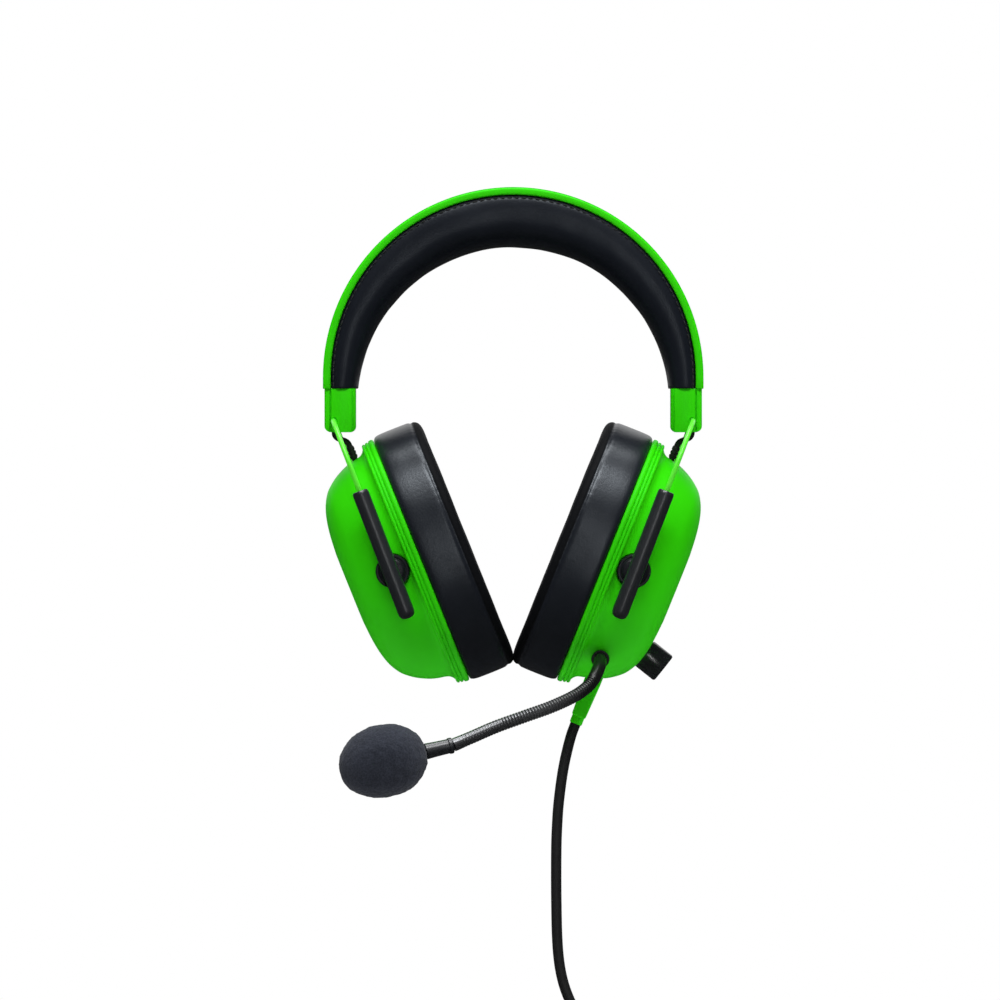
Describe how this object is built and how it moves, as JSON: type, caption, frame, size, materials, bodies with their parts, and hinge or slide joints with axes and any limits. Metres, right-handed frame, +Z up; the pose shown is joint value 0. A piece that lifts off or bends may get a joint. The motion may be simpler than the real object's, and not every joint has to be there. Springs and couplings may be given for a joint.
{
  "type": "headset",
  "caption": "Green and black over-ear headset: padded headband, wire yokes on slider tubes, oval tilting cups, gooseneck microphone with foam windscreen, volume knob and tied cable with jack plug.",
  "frame": {"origin": "middle of the headband pad's underside, where the headset rests on a head", "axes": "+Z up, -Y the wearer's front, +X the wearer's left (the microphone's side)"},
  "size_m": [0.144, 0.1311, 0.4104],
  "materials": {
    "green_plastic": "satin moulded, vivid green",
    "green_painted_steel": "satin green paint on steel wire",
    "leatherette": "soft black leatherette",
    "ear_cloth": "thin black knit",
    "foam": "open-cell black foam",
    "steel": "plain steel",
    "black_plastic": "satin black",
    "rubber_jacket": "satin black jacket",
    "circuit_board": "solder mask",
    "plug_contacts": "gold plated"
  },
  "bodies": {
    "headband": {"headband_cover": "green_plastic", "headband_pad": "leatherette", "headband_spring": "steel", "end_cap_left": "green_plastic", "cap_screw_left": "steel", "yoke_wire_left": "green_painted_steel", "link_cable_left": "rubber_jacket", "end_cap_right": "green_plastic", "cap_screw_right": "steel", "yoke_wire_right": "green_painted_steel", "link_cable_right": "rubber_jacket"},
    "slider_left": {"slider_tube_left_front": "black_plastic", "slider_tube_left_rear": "black_plastic", "slider_bush_left_front": "black_plastic", "slider_bush_left_rear": "black_plastic", "pivot_pin_left_front": "black_plastic", "pivot_pin_left_rear": "black_plastic"},
    "cup_left": {"cup_shell_left": "green_plastic", "trim_ring_left": "green_plastic", "baffle_left": "black_plastic", "driver_left": "steel", "ear_cushion_left": "leatherette", "ear_cloth_left": "ear_cloth", "link_grommet_left": "rubber_jacket", "baffle_screw_left_1": "steel", "baffle_screw_left_2": "steel", "baffle_screw_left_3": "steel", "volume_potentiometer": "steel", "circuit_board": "circuit_board", "cable_gland": "green_plastic", "boom_grommet": "rubber_jacket", "boom_base": "rubber_jacket", "cable": "rubber_jacket", "cable_coil": "rubber_jacket", "cable_tail": "rubber_jacket", "cable_tie": "black_plastic", "plug_body": "black_plastic", "plug_pin": "plug_contacts"},
    "slider_right": {"slider_tube_right_front": "black_plastic", "slider_tube_right_rear": "black_plastic", "slider_bush_right_front": "black_plastic", "slider_bush_right_rear": "black_plastic", "pivot_pin_right_front": "black_plastic", "pivot_pin_right_rear": "black_plastic"},
    "cup_right": {"cup_shell_right": "green_plastic", "trim_ring_right": "green_plastic", "baffle_right": "black_plastic", "driver_right": "steel", "ear_cushion_right": "leatherette", "ear_cloth_right": "ear_cloth", "link_grommet_right": "rubber_jacket", "baffle_screw_right_1": "steel", "baffle_screw_right_2": "steel", "baffle_screw_right_3": "steel"},
    "boom_lower": {"boom_middle": "rubber_jacket"},
    "boom_upper": {"boom_tip": "rubber_jacket", "mic_ferrule": "black_plastic", "mic_capsule": "black_plastic", "foam_windscreen": "foam"},
    "knob": {"volume_knob": "black_plastic"}
  },
  "joints": [
    {"name": "slider_left", "type": "slide", "parent": "headband", "child": "slider_left", "axis": [-0.3584, 0, -0.9336], "range_m": [0, 0.02], "deforming": ["link_cable_left", "ear_cushion_left"]},
    {"name": "cup_tilt_left", "type": "hinge", "parent": "slider_left", "child": "cup_left", "pos_m": [0.0456, 0, -0.1227], "axis": [0, -1, 0], "range_deg": [0, 18]},
    {"name": "slider_right", "type": "slide", "parent": "headband", "child": "slider_right", "axis": [0.3584, 0, -0.9336], "range_m": [0, 0.02], "deforming": ["link_cable_right", "ear_cushion_right"]},
    {"name": "cup_tilt_right", "type": "hinge", "parent": "slider_right", "child": "cup_right", "pos_m": [-0.0456, 0, -0.1227], "axis": [0, 1, 0], "range_deg": [0, 18]},
    {"name": "boom_raise", "type": "hinge", "parent": "cup_left", "child": "boom_lower", "pos_m": [0.0287, -0.042, -0.1655], "axis": [0, 1, 0], "range_deg": [-20, 30]},
    {"name": "boom_swing", "type": "hinge", "parent": "boom_lower", "child": "boom_upper", "pos_m": [0.004, -0.059, -0.1773], "axis": [0, 0, 1], "range_deg": [-15, 25]},
    {"name": "volume_turn", "type": "hinge", "parent": "cup_left", "child": "knob", "pos_m": [0.05713, 0.012, -0.15982], "axis": [0.7826, 0, -0.6225], "range_deg": [-140, 140]}
  ]
}
